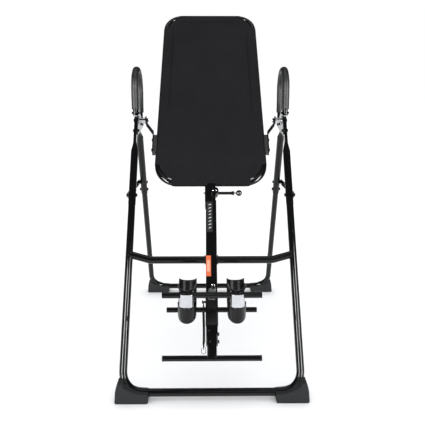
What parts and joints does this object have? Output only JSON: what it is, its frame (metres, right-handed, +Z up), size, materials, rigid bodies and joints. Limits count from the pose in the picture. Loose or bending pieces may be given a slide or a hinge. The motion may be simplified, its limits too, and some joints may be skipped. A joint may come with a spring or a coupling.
{
  "type": "inversion table",
  "caption": "Folding A-frame inversion table with a tilting fabric backrest, telescopic boom, ankle cups, foot bar and foam-covered handle loops.",
  "frame": {"origin": "on the floor, in the middle of the footprint", "axes": "+Z up, +X to the side along the pivot axis, -Y towards the foot bar end"},
  "size_m": [0.7184, 1.222, 1.4962],
  "materials": {
    "black_powder_coat": "gloss black powder coat on steel",
    "moulded_rubber": "moulded black rubber",
    "foot_rubber": "matte dark grey moulded rubber",
    "black_oxide_steel": "black finished steel fasteners",
    "nylon": "black nylon bush",
    "grip_foam": "dark grey closed-cell foam grip",
    "backrest_cloth": "tightly woven black polyester cloth",
    "chrome_plate": "bright chrome plate",
    "bright_steel": "zinc plated steel",
    "scale_plate": "dark printed scale with light marks",
    "orange_label": null,
    "ball_plastic": "gloss black ball knob",
    "cup_rubber": "moulded black ankle cup",
    "webbing": "black polyester webbing"
  },
  "bodies": {
    "front_frame": {"front_base_tube": "black_powder_coat", "front_upper_tube_left": "black_powder_coat", "front_upper_tube_right": "black_powder_coat", "front_crossbar": "black_powder_coat", "crossbar_bumper": "moulded_rubber", "front_foot_left": "foot_rubber", "front_foot_right": "foot_rubber", "front_frame_bolts": "black_oxide_steel", "pivot_bracket_left": "black_powder_coat", "pivot_bracket_right": "black_powder_coat", "pivot_bushes": "nylon", "handle_tube_left": "black_powder_coat", "handle_tube_right": "black_powder_coat", "handle_foam_left": "grip_foam", "handle_foam_right": "grip_foam"},
    "rear_frame": {"rear_base_tube": "black_powder_coat", "rear_upper_tube_left": "black_powder_coat", "rear_upper_tube_right": "black_powder_coat", "rear_foot_left": "foot_rubber", "rear_foot_right": "foot_rubber", "rear_frame_bolts": "black_oxide_steel"},
    "spreader_front": {"spreader_front_arms": "black_powder_coat"},
    "spreader_rear": {"spreader_rear_arms": "black_powder_coat"},
    "table": {"backrest_upper_rail": "black_powder_coat", "backrest_lower_rail_left": "black_powder_coat", "backrest_lower_rail_right": "black_powder_coat", "backrest_cross_tube": "black_powder_coat", "backrest_post": "black_powder_coat", "backrest_fabric": "backrest_cloth", "swing_arm_left": "black_powder_coat", "swing_arm_right": "black_powder_coat", "rail_saddles": "moulded_rubber", "pivot_axle_left": "chrome_plate", "pivot_axle_right": "chrome_plate", "swing_arm_bolts": "bright_steel", "pin_barrel": "black_powder_coat"},
    "boom": {"boom_tube": "black_powder_coat", "boom_inner_shaft": "black_powder_coat", "foot_tube": "black_powder_coat", "foot_bar": "black_powder_coat", "foot_bar_caps": "moulded_rubber", "height_scale": "scale_plate", "caution_label": "orange_label", "boom_bolts": "black_oxide_steel", "ankle_housing": "black_powder_coat", "rear_ankle_bar": "black_powder_coat"},
    "height_pin": {"height_pin": "bright_steel", "height_pin_ball": "ball_plastic"},
    "ankle_slide": {"ankle_slide_tube": "black_powder_coat", "front_ankle_bar": "black_powder_coat"},
    "ankle_pin": {"ankle_pull_pin": "bright_steel"},
    "front_cup_left": {"front_cup_left": "cup_rubber", "front_cup_band_left": "chrome_plate"},
    "front_cup_right": {"front_cup_right": "cup_rubber", "front_cup_band_right": "chrome_plate"},
    "rear_cup_left": {"rear_cup_left": "cup_rubber"},
    "rear_cup_right": {"rear_cup_right": "cup_rubber"},
    "tether": {"tether_strap": "webbing", "tether_hook": "bright_steel"}
  },
  "joints": [
    {"name": "table_tilt", "type": "hinge", "parent": "front_frame", "child": "table", "pos_m": [0, 0.07, 0.993], "axis": [-1, 0, 0], "range_deg": [0, 142]},
    {"name": "boom_height", "type": "slide", "parent": "table", "child": "boom", "axis": [0, -0.6157, -0.788], "range_m": [0, 0.09]},
    {"name": "height_pin_pull", "type": "slide", "parent": "table", "child": "height_pin", "axis": [1, 0, 0], "range_m": [0, 0.052], "stiffness_N_per_m": 200, "springref_m": -0.02},
    {"name": "ankle_clamp", "type": "slide", "parent": "boom", "child": "ankle_slide", "axis": [0, -0.788, 0.6157], "range_m": [-0.01, 0.05]},
    {"name": "ankle_pin_pull", "type": "slide", "parent": "boom", "child": "ankle_pin", "axis": [0, 0.6157, 0.788], "range_m": [0, 0.01], "stiffness_N_per_m": 400, "springref_m": -0.006},
    {"name": "frame_fold", "type": "hinge", "parent": "front_frame", "child": "rear_frame", "pos_m": [0, 0.145, 0.975], "axis": [-1, 0, 0], "range_deg": [0, 50]},
    {"name": "spreader_front_swing", "type": "hinge", "parent": "front_frame", "child": "spreader_front", "pos_m": [0, -0.1393, 0.69], "axis": [1, 0, 0], "range_deg": [0, 66.32]},
    {"name": "spreader_rear_swing", "type": "hinge", "parent": "rear_frame", "child": "spreader_rear", "pos_m": [0, 0.285, 0.682], "axis": [1, 0, 0], "range_deg": [-22.24, 0]},
    {"name": "front_cup_left_turn", "type": "hinge", "parent": "ankle_slide", "child": "front_cup_left", "pos_m": [0, -0.56715, 0.40325], "axis": [-1, 0, 0], "range_deg": [-5, 38]},
    {"name": "front_cup_right_turn", "type": "hinge", "parent": "ankle_slide", "child": "front_cup_right", "pos_m": [0, -0.56715, 0.40325], "axis": [-1, 0, 0], "range_deg": [-5, 38]},
    {"name": "rear_cup_left_turn", "type": "hinge", "parent": "boom", "child": "rear_cup_left", "pos_m": [0, -0.45353, 0.30179], "axis": [-1, 0, 0], "range_deg": [-10, 10]},
    {"name": "rear_cup_right_turn", "type": "hinge", "parent": "boom", "child": "rear_cup_right", "pos_m": [0, -0.45353, 0.30179], "axis": [-1, 0, 0], "range_deg": [-10, 10]},
    {"name": "tether_swing", "type": "hinge", "parent": "boom", "child": "tether", "pos_m": [-0.0315, -0.425, 0.322], "axis": [1, 0, 0], "range_deg": [0, 40]}
  ],
  "couplings": [
    {"joint": "spreader_front_swing", "follows": "frame_fold", "ratio": 1.3262},
    {"joint": "spreader_rear_swing", "follows": "frame_fold", "ratio": -0.4446}
  ]
}
